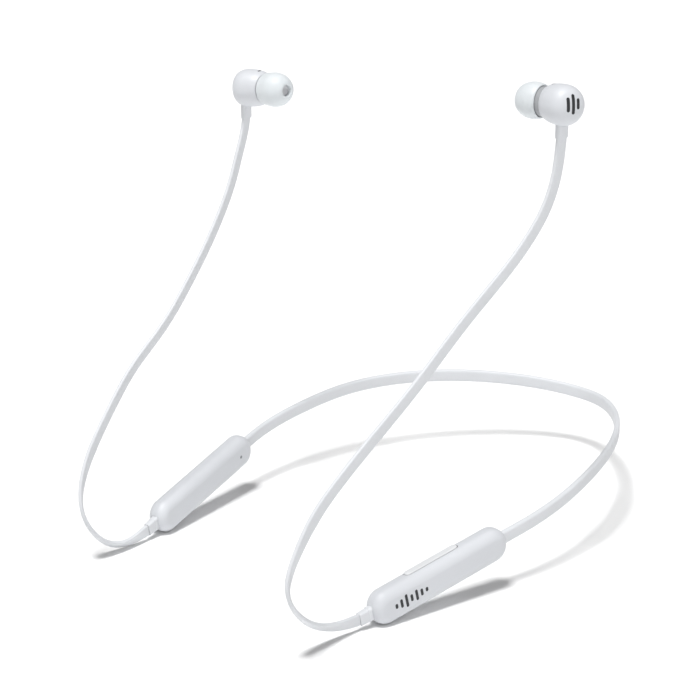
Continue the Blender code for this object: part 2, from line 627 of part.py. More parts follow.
def build_bud_relief(side_name, barrel, cable_end, ribbon):
    """The stub under the barrel that guides the ear cable in, turned with the cable's ribbon."""
    wide, thin = BUD_RELIEF_SIZE
    bottom = cable_end + Vector((0, 0, CABLE_END_GAP))
    turn = math.atan2(ribbon.y, ribbon.x)
    new_part(side_name + "_bud_relief", slab_bmesh((wide, thin, BUD_RELIEF_LENGTH), 2, 0.8 * MM, 3),
             RIBBON_SKIN, None, bottom + Vector((0, 0, BUD_RELIEF_LENGTH / 2)), (0, 0, turn))
    hole = slab_bmesh((wide + 2 * GAP, thin + 2 * GAP, 5 * MM), 2, 1.1 * MM, 3)
    cutter = make_cutter(side_name + "_relief_hole", hole, None,
                         bottom + Vector((0, 0, BUD_RELIEF_LENGTH - 1 * MM)), (0, 0, turn))
    combine(barrel, cutter)


def main():
    global PARTS, CUTTERS
    clear_scene()
    PARTS = new_collection("neckband_earphones")
    CUTTERS = new_collection("cutters")
    build_neckband()
    build_left_housing()
    build_right_housing()
    build_ear_cable("left_ear_cable", LEFT_CABLE_ROUTE, LEFT_CABLE_TWIST)
    build_ear_cable("right_ear_cable", RIGHT_CABLE_ROUTE, RIGHT_CABLE_TWIST)
    build_bud("left", 1, LEFT_BUD, LEFT_BUD_TURN, Vector(LEFT_CABLE_ROUTE[-1]) * MM,
              ribbon_at_bud(LEFT_CABLE_TWIST))
    build_bud("right", -1, RIGHT_BUD, RIGHT_BUD_TURN, Vector(RIGHT_CABLE_ROUTE[-1]) * MM,
              ribbon_at_bud(RIGHT_CABLE_TWIST))


main()
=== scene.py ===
"""Looks of the neckband earphones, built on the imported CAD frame: the wearer faces -Y, +Z is up, metres."""

import json
import math

import bmesh
import bpy
from mathutils import Matrix, Vector


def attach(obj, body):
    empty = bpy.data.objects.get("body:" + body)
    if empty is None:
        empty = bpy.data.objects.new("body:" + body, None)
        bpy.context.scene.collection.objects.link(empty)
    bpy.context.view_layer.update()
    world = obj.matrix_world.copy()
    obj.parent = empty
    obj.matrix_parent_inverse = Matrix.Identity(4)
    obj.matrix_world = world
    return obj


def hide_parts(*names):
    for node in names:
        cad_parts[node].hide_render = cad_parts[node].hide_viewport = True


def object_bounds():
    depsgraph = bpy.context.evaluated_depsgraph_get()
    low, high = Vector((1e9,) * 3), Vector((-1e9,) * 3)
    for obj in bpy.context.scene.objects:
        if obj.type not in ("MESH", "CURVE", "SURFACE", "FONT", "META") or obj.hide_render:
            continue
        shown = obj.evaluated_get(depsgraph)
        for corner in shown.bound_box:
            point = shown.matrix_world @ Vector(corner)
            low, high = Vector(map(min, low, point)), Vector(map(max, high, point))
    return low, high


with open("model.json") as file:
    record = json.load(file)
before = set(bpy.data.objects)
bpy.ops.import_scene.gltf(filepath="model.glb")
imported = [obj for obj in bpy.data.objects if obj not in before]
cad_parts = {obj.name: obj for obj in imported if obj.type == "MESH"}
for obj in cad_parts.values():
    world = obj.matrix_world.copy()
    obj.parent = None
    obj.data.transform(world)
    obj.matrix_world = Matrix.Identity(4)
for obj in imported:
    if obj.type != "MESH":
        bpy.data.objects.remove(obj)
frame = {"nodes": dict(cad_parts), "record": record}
CAD_BOX = [list(corner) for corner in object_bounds()]
NODES = frame["nodes"]
MM = 0.001
ROOT = "headset"

# ---------------------------------------------------------------- camera

AZIMUTH, ELEVATION = math.radians(43.95), math.radians(18.63)
CAMERA_PLACE = (0.4764, -0.6253, 0.2808)
FOCAL_LENGTH, SENSOR_WIDTH = 107.74, 36             # as Blender takes them, in millimetres
NEAREST, FURTHEST = 0.02, 200                       # what the camera sees, past the floor's edge

camera_data = bpy.data.cameras.new("camera")
camera_data.sensor_width = SENSOR_WIDTH
camera_data.lens = FOCAL_LENGTH
camera_data.clip_start = NEAREST
camera_data.clip_end = FURTHEST
camera = bpy.data.objects.new("camera", camera_data)
camera.location = CAMERA_PLACE
camera.rotation_euler = (math.pi / 2 - ELEVATION, 0, AZIMUTH)
bpy.context.scene.collection.objects.link(camera)
bpy.context.scene.camera = camera


# ---------------------------------------------------------------- materials

NOISE_SPAN = (0.3, 0.7)             # nearly all of a noise's values lie between these
GRAIN = 2600.0                      # texture scale of a mould's spark-eroded grain
FINE_PATTERN = 900.0                # texture scale of wires, gauze and board paths


class Recipe:
    """A small helper around one material's node tree."""

    def __init__(self, name):
        self.material = bpy.data.materials.new(name)
        self.material.use_nodes = True
        self.tree = self.material.node_tree
        self.shader = self.tree.nodes["Principled BSDF"]
        self.space = self.tree.nodes.new("ShaderNodeTexCoord").outputs["Object"]

    def node(self, kind, **values):
        made = self.tree.nodes.new(kind)
        for key, value in values.items():
            if key in made.inputs:
                made.inputs[key].default_value = value
            else:
                setattr(made, key, value)
        return made

    def link(self, output, target):
        self.tree.links.new(output, target)

    def stretched(self, scale):
        mapping = self.node("ShaderNodeMapping")
        mapping.inputs["Scale"].default_value = scale
        self.link(self.space, mapping.inputs["Vector"])
        return mapping.outputs["Vector"]

    def noise(self, scale, detail=3.0, roughness=0.5, vector=None):
        made = self.node("ShaderNodeTexNoise", Scale=scale, Detail=detail, Roughness=roughness)
        self.link(vector or self.space, made.inputs["Vector"])
        return made.outputs["Fac"]

    def colours(self, fac, stops):
        """Base colour from a ramp of (place, colour) stops."""
        ramp = self.node("ShaderNodeValToRGB")
        while len(ramp.color_ramp.elements) < len(stops):
            ramp.color_ramp.elements.new(0.5)
        for element, (place, colour) in zip(ramp.color_ramp.elements, stops):
            element.position = place
            element.color = (*colour, 1.0)
        self.link(fac, ramp.inputs["Fac"])
        self.link(ramp.outputs["Color"], self.shader.inputs["Base Color"])

    def roughness(self, fac, low, high):
        mapped = self.node("ShaderNodeMapRange")
        mapped.inputs["From Min"].default_value = NOISE_SPAN[0]
        mapped.inputs["From Max"].default_value = NOISE_SPAN[1]
        mapped.inputs["To Min"].default_value = low
        mapped.inputs["To Max"].default_value = high
        self.link(fac, mapped.inputs["Value"])
        self.link(mapped.outputs["Result"], self.shader.inputs["Roughness"])

    def drift(self, fac, colour, darker, places=(0.35, 0.65)):
        """A colour that drifts down to a slightly darker one."""
        self.colours(fac, [(places[0], tuple(c * darker for c in colour)), (places[1], colour)])

    def bump(self, height, strength, depth):
        """Relief of a depth in mm."""
        bump = self.node("ShaderNodeBump", Strength=strength, Distance=depth * MM)
        self.link(height, bump.inputs["Height"])
        self.link(bump.outputs["Normal"], self.shader.inputs["Normal"])

    def fixed(self, **values):
        for key, value in values.items():
            self.shader.inputs[key.replace("_", " ")].default_value = value


def moulded_plastic(name, colour, low, high):
    """Hard moulded plastic: a fine spark-eroded grain, faint shade drift and uneven sheen."""
    made = Recipe(name)
    made.drift(made.noise(45, 4), colour, 0.975)
    made.roughness(made.noise(160, 5), low, high)
    made.bump(made.noise(GRAIN, 2), strength=0.10, depth=0.04)
    made.fixed(IOR=1.48)
    return made.material


def ribbon_rubber(name, colour):
    """Soft extruded jacket: matt and dry, with a faint sheen."""
    made = Recipe(name)
    made.drift(made.noise(60, 5, 0.6), colour, 0.965)
    made.roughness(made.noise(240, 4), 0.46, 0.60)
    made.bump(made.noise(1900, 3, 0.6), strength=0.16, depth=0.05)
    made.fixed(IOR=1.47, Sheen_Weight=0.12, Sheen_Roughness=0.5)
    return made.material


def silicone(name, colour):
    """Translucent soft silicone with light going a little way in."""
    made = Recipe(name)
    made.drift(made.noise(130, 3), colour, 0.97)
    made.roughness(made.noise(300, 4), 0.38, 0.50)
    made.bump(made.noise(1500, 3), strength=0.10, depth=0.04)
    made.fixed(IOR=1.41, Subsurface_Weight=0.35, Subsurface_Scale=1.5 * MM, Subsurface_Radius=(1.0, 1.0, 1.0))
    return made.material


def metal(name, colour, low, high, stretch=(1, 1, 1), scale=FINE_PATTERN):
    """Drawn or rolled metal, whose grain is longest along the axes with the smallest stretch."""
    made = Recipe(name)
    vector = made.stretched(stretch)
    made.drift(made.noise(120, 3), colour, 0.9, places=(0.3, 0.7))
    made.roughness(made.noise(scale, 4, 0.6, vector), low, high)
    made.bump(made.noise(scale, 3, 0.6, vector), strength=0.12, depth=0.03)
    made.fixed(Metallic=1.0)
    return made.material


def circuit_board(name):
    """Green solder mask with the paths showing through as a lighter pattern."""
    made = Recipe(name)
    cells = made.node("ShaderNodeTexVoronoi", Scale=FINE_PATTERN)
    cells.distance = "MANHATTAN"
    made.link(made.space, cells.inputs["Vector"])
    made.colours(cells.outputs["Distance"], [(0.18, (0.05, 0.22, 0.11)), (0.32, (0.025, 0.12, 0.06)),
                                             (0.8, (0.035, 0.15, 0.075))])
    made.roughness(made.noise(300, 3), 0.30, 0.45)
    made.bump(cells.outputs["Distance"], strength=0.15, depth=0.04)
    return made.material


def woven_mesh(name):
    """Fine steel gauze: two crossing waves of wire."""
    made = Recipe(name)
    heights = []
    for axis in ("X", "Y"):
        wave = made.node("ShaderNodeTexWave", Scale=FINE_PATTERN, bands_direction=axis)
        made.link(made.space, wave.inputs["Vector"])
        heights.append(wave.outputs["Fac"])
    both = made.node("ShaderNodeMath", operation="MULTIPLY")
    made.link(heights[0], both.inputs[0])
    made.link(heights[1], both.inputs[1])
    made.colours(both.outputs["Value"], [(0.05, (0.50, 0.50, 0.52)), (0.6, (0.84, 0.85, 0.87))])
    made.roughness(both.outputs["Value"], 0.55, 0.35)
    made.bump(both.outputs["Value"], strength=0.6, depth=0.1)
    made.fixed(Metallic=0.1)
    return made.material


def foam(name):
    """Dark open foam with pores."""
    made = Recipe(name)
    made.colours(made.noise(2200, 6, 0.7), [(0.35, (0.03, 0.03, 0.035)), (0.65, (0.10, 0.10, 0.11))])
    made.roughness(made.noise(900, 4), 0.85, 0.98)
    made.bump(made.noise(2200, 6, 0.7), strength=0.7, depth=0.3)
    return made.material


def light_guide(name):
    """Milky clear plastic over the status light."""
    made = Recipe(name)
    made.colours(made.noise(700, 3), [(0.35, (0.74, 0.76, 0.77)), (0.65, (0.82, 0.84, 0.85))])
    made.roughness(made.noise(500, 3), 0.12, 0.22)
    made.bump(made.noise(900, 2), strength=0.05, depth=0.03)
    return made.material


SHELL = moulded_plastic("shell_white", (0.645, 0.66, 0.69), 0.42, 0.52)
KEY = moulded_plastic("key_white", (0.71, 0.72, 0.735), 0.38, 0.48)
RIBBON = ribbon_rubber("ribbon_white", (0.69, 0.705, 0.73))
SILICONE = silicone("silicone_white", (0.70, 0.735, 0.755))
GREY = moulded_plastic("grey_plastic", (0.36, 0.37, 0.385), 0.40, 0.52)
BLACK = moulded_plastic("black_plastic", (0.022, 0.022, 0.024), 0.40, 0.55)
STEEL = metal("steel", (0.62, 0.62, 0.63), 0.22, 0.38, (1, 6, 1))
SPRING = metal("spring_alloy", (0.42, 0.43, 0.45), 0.28, 0.42, (8, 1, 8))
COPPER = metal("copper", (0.74, 0.44, 0.27), 0.25, 0.42, (8, 1, 8))
MAGNET = metal("magnet", (0.58, 0.58, 0.60), 0.16, 0.26)
FOIL = metal("cell_foil", (0.60, 0.62, 0.65), 0.28, 0.46, (1, 1, 3), 500.0)
BOARD = circuit_board("board_green")
GAUZE = woven_mesh("gauze")
# dark print for the printed marks, also used as painted shade on the buds' vent slits
DARK_PRINT_AND_SHADE = moulded_plastic("dark_print_and_shade", (0.014, 0.015, 0.018), 0.42, 0.55)
PALE_PRINT = moulded_plastic("pale_print", (0.22, 0.23, 0.25), 0.42, 0.55)

FOAM = foam("foam")
LENS = light_guide("light_guide")

SLOT_MATERIALS = {
    "shell_white": SHELL, "key_white": KEY, "ribbon_white": RIBBON, "silicone_white": SILICONE,
    "grey_plastic": GREY, "black_plastic": BLACK, "steel": STEEL, "spring_alloy": SPRING, "copper": COPPER,
    "magnet": MAGNET, "cell_foil": FOIL, "board_green": BOARD, "foam": FOAM, "light_guide": LENS,
}
SLOT_OF = {part["node"]: part["material_slot"] for part in frame["record"]["subparts"]}
for node_name, node_object in NODES.items():
    node_object.data.materials.clear()
    node_object.data.materials.append(SLOT_MATERIALS[SLOT_OF[node_name]])
for side_name in ("left", "right"):
    NODES[side_name + "_bud_screen"].data.materials[0] = GAUZE


# ---------------------------------------------------------------- design values shared with the CAD

HOUSING_LENGTH = 56.5 * MM
HOUSING_HEIGHT = 12.0 * MM
HOUSING_THICKNESS = 8.0 * MM
HOUSING_TOE_IN = math.radians(10.5)
HOUSING_PITCH = math.radians(13)
WALL = 1.0 * MM

NECK_WIDTH = 4.8 * MM
NECK_THICKNESS = 2.0 * MM
NECK_CORNER = 0.85 * MM
CHANNEL_HALF, CHANNEL_CORNER = (1.45 * MM, 0.65 * MM), 0.6 * MM     # the hollow for spring and conductors
NECK_STATIONS = 49
NECK_INSERTION = 2.5 * MM
# Half of the neckband's centre line, nape to the rear end of the wearer's left housing (mm).
NECK_ROUTE = [(0, 0, 0), (18, -7.5, 2), (37, -25, 4.4), (51.3, -46, 5.4), (60.8, -69, 4.5),
              (65, -92, 1), (65.3, -110, -2), (63, -122.5, -4.6)]

CABLE_WIDTH = 4.2 * MM
CABLE_THICKNESS = 1.3 * MM
CABLE_CORNER = 0.5 * MM
CABLE_STATIONS = 58
# The ribbon's twist along each cable: (share of the length, turn from upright in degrees).
CABLE_TWISTS = {
    "left": [(0.0, 0), (0.16, -110), (0.21, -154), (0.3, -182), (1.0, -187)],
    "right": [(0.0, 0), (0.12, -90), (0.24, -148), (0.3, -167), (1.0, -167)],
}
CABLE_ROUTES = {
    "left": [(52.1, -181.1, -18.4), (51.7, -184.6, -18.7), (51.6, -189, -18), (51.6, -195, -16.5),
             (52, -202.5, -13), (52.5, -209, -7), (53, -214, 0), (53.4, -215, 6), (54.3, -211, 15),
             (55.5, -203, 27), (57, -187.5, 40), (59, -163.5, 57.5), (61, -142.5, 75),
             (63, -119, 92.5), (64.3, -106, 106.5), (65.3, -101.8, 119), (66, -101.3, 130.2)],
    "right": [(-52.1, -181.1, -18.4), (-51.9, -184.8, -19.2), (-51.6, -191, -20.5),
              (-52, -196.5, -19.5), (-52.6, -202.5, -15.5), (-53.2, -207, -9), (-53.8, -209.5, -1.5),
              (-54.6, -207.5, 7.5), (-55.6, -202, 17), (-56.9, -191, 30), (-58.2, -180, 41),
              (-59.8, -162.5, 53.5), (-61.5, -146.5, 69.5), (-62.8, -135.5, 82.5),
              (-64.1, -126.5, 95.5), (-65.2, -120.5, 108.5), (-65.9, -116.9, 115.4),
              (-66, -116.5, 119.2)],
}

# For each earbud: centre (mm), and yaw and pitch of its axis.
BUDS = {
    "left": ((67.1, -101.2, 140.5), math.radians(17), math.radians(-1)),
    "right": ((-65.9, -116.1, 129.7), math.radians(23), math.radians(4)),
}
BUD_BEND = math.radians(22)
BARREL_FRONT = 8.2                  # mm along the bud's axis, where the bend ends
SIDES = {"left": 1, "right": -1}


def housing_frame(side):
    """Local Y runs from the housing's front to its rear, local Z up, local X across its thickness."""
    turn = Matrix.Rotation(-side * HOUSING_TOE_IN, 4, "Z") @ Matrix.Rotation(HOUSING_PITCH, 4, "X")
    x, y, z = NECK_ROUTE[-1]
    rear = Vector((side * x, y, z)) * MM
    return Matrix.Translation(rear) @ turn @ Matrix.Translation((0, -HOUSING_LENGTH / 2, 0))


def bud_frame(side_name):
    """Local Z is the bud's axis towards the ear, and local Y is up."""
    side = SIDES[side_name]
    centre, yaw, pitch = BUDS[side_name]
    level = math.cos(pitch)
    towards_ear = Vector((-side * math.cos(yaw) * level, math.sin(yaw) * level, math.sin(pitch)))
    across = Vector((0, 0, 1)).cross(towards_ear).normalized()
    turn = Matrix((across, towards_ear.cross(across), towards_ear)).transposed()
    return Matrix.Translation(Vector(centre) * MM) @ turn.to_4x4()


def bent(side, point):
    """A point of the bud (metres, bud frame) after the barrel's bend, straight on past its front."""
    arc = BARREL_FRONT * MM / BUD_BEND
    along = min(max(point.z, 0.0), BARREL_FRONT * MM)
    angle = along / arc
    out, beyond = side * point.x, point.z - along
    reach = arc * (1 - math.cos(angle)) + math.cos(angle) * out + math.sin(angle) * beyond
    rise = arc * math.sin(angle) - math.sin(angle) * out + math.cos(angle) * beyond
    return Vector((side * reach, point.y, rise))


def nozzle_frame(side_name):
    """Past the barrel's front: the bud's frame, carried round the bend."""
    side = SIDES[side_name]
    mouth = Vector((0, 0, BARREL_FRONT * MM))
    turn = Matrix.Rotation(side * BUD_BEND, 4, "Y")
    return BUD[side_name] @ Matrix.Translation(bent(side, mouth)) @ turn @ Matrix.Translation(-mouth)


HOUSING = {name: housing_frame(side) for name, side in SIDES.items()}
BUD = {name: bud_frame(name) for name in SIDES}
NOZZLE = {name: nozzle_frame(name) for name in SIDES}


# ---------------------------------------------------------------- mesh helpers

SLIVER = 0.002 * MM                 # edges shorter than this are dropped after a cut


def piece(name, bm, material, body, replaced=(), frame_matrix=None, angle=38, weighted=False):
    """A finished piece: its mesh put in the world, shaded smooth, riding on its body."""
    if frame_matrix is not None:
        bm.transform(frame_matrix)
    bmesh.ops.recalc_face_normals(bm, faces=bm.faces)
    mesh = bpy.data.meshes.new(name)
    bm.to_mesh(mesh)
    bm.free()
    mesh.shade_smooth()
    mesh.set_sharp_from_angle(angle=math.radians(angle))
    obj = bpy.data.objects.new(name, mesh)
    bpy.context.scene.collection.objects.link(obj)
    mesh.materials.append(material)
    if weighted:
        normals = obj.modifiers.new("even shading", "WEIGHTED_NORMAL")
        normals.keep_sharp = True
    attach(obj, body)
    if replaced:
        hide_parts(*replaced)
    return obj


def carved(bm, cutters=(), added=()):
    """The body with other bodies cut out of it or joined to it, as a new bmesh."""
    made = []
    for shape in (bm, *cutters, *added):
        bmesh.ops.recalc_face_normals(shape, faces=shape.faces)
        mesh = bpy.data.meshes.new("shape")
        shape.to_mesh(mesh)
        shape.free()
        obj = bpy.data.objects.new("shape", mesh)
        bpy.context.scene.collection.objects.link(obj)
        made.append(obj)
    for index, other in enumerate(made[1:]):
        step = made[0].modifiers.new("step", "BOOLEAN")
        step.operation = "DIFFERENCE" if index < len(cutters) else "UNION"
        step.object = other
        step.solver = "EXACT"
    result = made[0].evaluated_get(bpy.context.evaluated_depsgraph_get())
    out = bmesh.new()
    out.from_mesh(result.to_mesh())
    for obj in made:
        mesh = obj.data
        bpy.data.objects.remove(obj)
        bpy.data.meshes.remove(mesh)
    bmesh.ops.dissolve_degenerate(out, dist=SLIVER, edges=out.edges)
    return out


def joined(shapes):
    """Several loose bodies in one bmesh."""
    out = bmesh.new()
    for shape in shapes:
        mesh = bpy.data.meshes.new("shape")
        shape.to_mesh(mesh)
        shape.free()
        out.from_mesh(mesh)
        bpy.data.meshes.remove(mesh)
    return out


def catmull(points, steps):
    """A smooth curve through the points, which are vectors."""
    knots = [2 * points[0] - points[1]] + points + [2 * points[-1] - points[-2]]
    dense = []
    for i in range(1, len(knots) - 2):
        p0, p1, p2, p3 = knots[i - 1:i + 3]
        for step in range(steps):
            t = step / steps
            dense.append(0.5 * (2 * p1 + (p2 - p0) * t + (2 * p0 - 5 * p1 + 4 * p2 - p3) * t * t
                                + (3 * p1 - p0 - 3 * p2 + p3) * t ** 3))
    return dense + [knots[-2]]


def curved(profile, steps=5):
    """A turned profile's smooth stretch, through its (along, radius) points."""
    return [tuple(p) for p in catmull([Vector(p) for p in profile], steps)]


def resample(points, count):
    """The same line as count points at even distances."""
    lengths = [0.0]
    for a, b in zip(points, points[1:]):
        lengths.append(lengths[-1] + (b - a).length)
    out = []
    j = 0
    for i in range(count):
        target = lengths[-1] * i / (count - 1)
        while j < len(points) - 2 and lengths[j + 1] < target:
            j += 1
        share = (target - lengths[j]) / (lengths[j + 1] - lengths[j])
        out.append(points[j].lerp(points[j + 1], min(share, 1.0)))
    return out


def smooth_route(points, stations, passes):
    """The same smooth line that the CAD's ribbons follow (mm in, metres out)."""
    route = resample(catmull([Vector(p) * MM for p in points], 24), stations)
    for _ in range(passes):
        inner = [(a + 2 * b + c) / 4 for a, b, c in zip(route, route[1:], route[2:])]
        route = [route[0]] + inner + [route[-1]]
    return resample(route, stations)


def tangents(points):
    """The line's direction at each of its points."""
    ends = [points[0]] + points + [points[-1]]
    return [(c - a).normalized() for a, c in zip(ends, ends[2:])]


def rounded_outline(half_a, half_b, radius, per_corner=8, splits=(1, 1)):
    """Points around a rounded rectangle; splits divides its straight runs along a and along b."""
    corners = []
    for sign_a, sign_b, start in ((1, -1, -90), (1, 1, 0), (-1, 1, 90), (-1, -1, 180)):
        turn = [math.radians(start + 90 * i / per_corner) for i in range(per_corner + 1)]
        corners.append([Vector((sign_a * (half_a - radius) + radius * math.cos(t),
                                sign_b * (half_b - radius) + radius * math.sin(t))) for t in turn])
    outline = []
    for index, corner in enumerate(corners):
        following = corners[(index + 1) % 4][0]
        steps = splits[1] if index % 2 == 0 else splits[0]
        outline += corner + [corner[-1].lerp(following, s / steps) for s in range(1, steps)]
    return outline


def loft(rings, closed=False):
    """Skin over rings of points that all have the same count: capped, or closed from last to first."""
    bm = bmesh.new()
    rows = [[bm.verts.new(p) for p in ring] for ring in rings]
    pairs = list(zip(rows, rows[1:]))
    if closed:
        pairs.append((rows[-1], rows[0]))
    for row, following in pairs:
        for i in range(len(row)):
            j = (i + 1) % len(row)
            bm.faces.new([row[i], row[j], following[j], following[i]])
    if not closed:
        bm.faces.new(rows[0][::-1])
        bm.faces.new(rows[-1])
    return bm


def fillet_steps(fillet, steps=5):
    """Quarter round as (inset, rise) pairs, from the full outline up to the flat."""
    turn = [math.pi / 2 * i / steps for i in range(steps + 1)]
    return [(fillet * (1 - math.cos(t)), fillet * math.sin(t)) for t in turn]


def soft_slab(half_a, half_b, radius, low, high, fillet, per_corner=8, splits=(1, 1), taper=0.0):
    """A rounded rectangle from low to high along Z with filleted rims; taper narrows the low end."""
    levels = [(inset, low + fillet - rise) for inset, rise in reversed(fillet_steps(fillet))]
    levels += [(inset, high - fillet + rise) for inset, rise in fillet_steps(fillet)]
    rings = []
    for inset, z in levels:
        inset += taper * (high - z) / (high - low)
        outline = rounded_outline(half_a - inset, half_b - inset, radius - min(inset, radius * 0.95),
                                  per_corner, splits)
        rings.append([Vector((a, b, z)) for a, b in outline])
    return loft(rings)


def turned(profile, closed=False, segments=80, where=None):
    """A body turned about Z from (along, radius) points in mm; where may place each point otherwise."""
    bm = bmesh.new()
    rows = []
    for along, radius in profile:
        count = segments if radius > 0 else 1
        row = []
        for i in range(count):
            angle = 2 * math.pi * i / segments
            point = Vector((radius * math.cos(angle), radius * math.sin(angle), along)) * MM
            row.append(bm.verts.new(where(point) if where else point))
        rows.append(row)
    pairs = list(zip(rows, rows[1:]))
    if closed:
        pairs.append((rows[-1], rows[0]))
    for row, following in pairs:
        for i in range(segments):
            j = i + 1
            corners = (row[i % len(row)], row[j % len(row)],
                       following[j % len(following)], following[i % len(following)])
            bm.faces.new(dict.fromkeys(corners))
    return bm


def along_y(bm):
    """Stands a body made along Z into the housing's length: Z becomes Y, and Y becomes -Z."""
    bm.transform(Matrix.Rotation(-math.pi / 2, 4, "X"))
    return bm


def facing_x(bm, facing, place):
    """Turns a body made along Z to face +X or -X, at a place in the housing's frame."""
    bm.transform(Matrix.Translation(place) @ Matrix.Rotation(facing * math.pi / 2, 4, "Y"))
    return bm


# ---------------------------------------------------------------- ear cables and neckband

RIBBON_CROWN = 0.02 * MM            # how far a ribbon's faces stand proud in the middle
RIBBON_CORNER_STEPS, RIBBON_SPLITS = 6, (6, 2)
CABLE_RINGS, NECK_RINGS = 260, 320


def ribbon_section(width, thickness, corner):
    """Section of a flat ribbon: soft corners, and faces that stand a little proud in the middle."""
    outline = rounded_outline(width / 2, thickness / 2, corner, RIBBON_CORNER_STEPS, RIBBON_SPLITS)
    reach = width / 2 - corner
    section = []
    for across, through in outline:
        rise = RIBBON_CROWN * max(0.0, 1 - (across / reach) ** 2)
        section.append((across, through + math.copysign(rise, through) * (abs(across) < reach)))
    return section


def sweep_rings(centres, wides, section):
    """The section at each point of a line, with its first axis along that point's wide direction."""
    rings = []
    for centre, along, wide in zip(centres, tangents(centres), wides):
        wide = (wide - wide.dot(along) * along).normalized()
        through = wide.cross(along)
        rings.append([centre + wide * a + through * b for a, b in section])
    return rings


def twist_at(twist, share):
    """The turn in radians at a share of the length."""
    for (s0, a0), (s1, a1) in zip(twist, twist[1:]):
        if share <= s1:
            return math.radians(a0 + (a1 - a0) * (share - s0) / (s1 - s0))
    return math.radians(twist[-1][1])


def cable_wides(centres, twist):
    """The ribbon's wide direction: upright at the housing, half a turn further at the earbud."""
    sideways = Vector((1, 0, 0))
    wides = []
    for i, along in enumerate(tangents(centres)):
        level = (sideways - sideways.dot(along) * along).normalized()
        upright = along.cross(level)
        angle = twist_at(twist, i / (len(centres) - 1))
        wides.append(upright * math.cos(angle) - level * math.sin(angle))
    return wides


def build_ear_cable(side_name):
    """A flat cable from its housing's sleeve to its earbud's stem, free in the air between them."""
    route = smooth_route(CABLE_ROUTES[side_name], CABLE_STATIONS, passes=3)
    centres = resample(catmull(route, 8), CABLE_RINGS)
    wides = cable_wides(centres, CABLE_TWISTS[side_name])
    skin = loft(sweep_rings(centres, wides, ribbon_section(CABLE_WIDTH, CABLE_THICKNESS, CABLE_CORNER)))
    cable = piece(side_name + "_ear_ribbon", skin, RIBBON, ROOT, (side_name + "_ear_cable",))


def build_neckband():
    """The neckband's jacket, a tube round its spring and conductors."""
    rear = Vector(NECK_ROUTE[-1])
    inside = rear - HOUSING["left"].to_3x3() @ Vector((0, NECK_INSERTION / MM, 0))
    half = [Vector(p) for p in NECK_ROUTE] + [inside]
    other = [Vector((-p.x, p.y, p.z)) for p in half[:0:-1]]
    route = smooth_route(other + half, NECK_STATIONS, passes=2)
    centres = resample(catmull(route, 12), NECK_RINGS)
    wides = [Vector((0, 0, 1))] * len(centres)
    outer = sweep_rings(centres, wides, ribbon_section(NECK_WIDTH, NECK_THICKNESS, NECK_CORNER))
    channel = rounded_outline(*CHANNEL_HALF, CHANNEL_CORNER, RIBBON_CORNER_STEPS, RIBBON_SPLITS)
    inner = sweep_rings(centres, wides, channel)
    piece("neckband_sleeve", loft(outer + inner[::-1], closed=True), RIBBON, ROOT, ("neckband_jacket",))


for side_name in SIDES:
    build_ear_cable(side_name)
build_neckband()


# ---------------------------------------------------------------- housings

SEAM = 0.03 * MM                    # visible gap where the two halves of a housing meet
FIT = 0.14 * MM                     # gap around the buttons
ROCKER_FIT = 0.2 * MM
PORT_FIT = 0.08 * MM                # gap around the neckband and the cable's sleeve
CUT = 3 * MM                        # how far a cutter reaches to each side of the wall
END_RADIUS = 5.7 * MM
EDGE_RADIUS = 3.4 * MM
RIM = 0.12 * MM                     # fillet along the edge of small parts

ROCKER_AT = Vector((-0.8, -1.0, 0)) * MM
ROCKER_HALF = (11.0 * MM, 1.35 * MM)
ROCKER_TOP = 6.45 * MM
ROCKER_EDGE, ROCKER_CROWN = 0.5 * MM, 0.10 * MM
ROCKER_FEET = ((-7.0 * MM, 3.85 * MM), (7.0 * MM, 3.85 * MM), (0, 3.6 * MM))    # place, lower end
ROCKER_FOOT = (0.8 * MM, 0.7 * MM, 0.2 * MM)        # half width, half length, corner
PLAY_BUTTON = (2.6 * MM, -18.0 * MM)                # radius, place along the housing
POWER_BUTTON = (2.0 * MM, -21.4 * MM)
STATUS_LIGHT_Y, STATUS_HOLE_RADIUS = -16.2 * MM, 0.68 * MM
MICROPHONE_Y, MICROPHONE_HOLE_RADIUS = -11.0 * MM, 0.5 * MM
USB_Y = 13.5 * MM
USB_SLOT = (1.68 * MM, 4.53 * MM, 1.6 * MM)         # half thickness, half length, corner
USB_LINING = (1.6 * MM, 4.45 * MM, 1.52 * MM)
USB_BORE = (1.25 * MM, 4.1 * MM, 1.18 * MM)
USB_TONGUE = (0.35 * MM, 3.3 * MM, 0.3 * MM)
CONTACT = (0.02 * MM, 0.13 * MM, 0.015 * MM)
CONTACTS, CONTACT_PITCH, CONTACT_X = 12, 0.5 * MM, 0.37 * MM
RELIEF_HALF, RELIEF_CORNER = (1.4 * MM, 2.55 * MM), 0.95 * MM
RELIEF_LENGTH = 4.55 * MM           # outside the housing
SLEEVE_FLANGE = (1.9 * MM, 3.0 * MM, 1.0 * MM)      # inside the housing
PRINT_THICKNESS = 0.03 * MM
LEVEL_BARS = (1.8, 3.2, 4.8, 2.6, 4.0, 2.6, 1.6)    # heights in mm
LEVEL_BAR_WIDTH, LEVEL_BAR_PITCH, LEVEL_BARS_Y = 1.05 * MM, 2.1 * MM, -13.9 * MM
SIDE_DOT, SIDE_DOT_Y = 1.2 * MM, 19.8 * MM


def shell_ring(facing, x, inset):
    """The housing's outline, inset, at a distance from its middle plane."""
    outline = rounded_outline(HOUSING_LENGTH / 2 - inset, HOUSING_HEIGHT / 2 - inset, END_RADIUS - inset,
                              per_corner=12, splits=(44, 4))
    return [Vector((facing * x, y, z)) for y, z in outline]


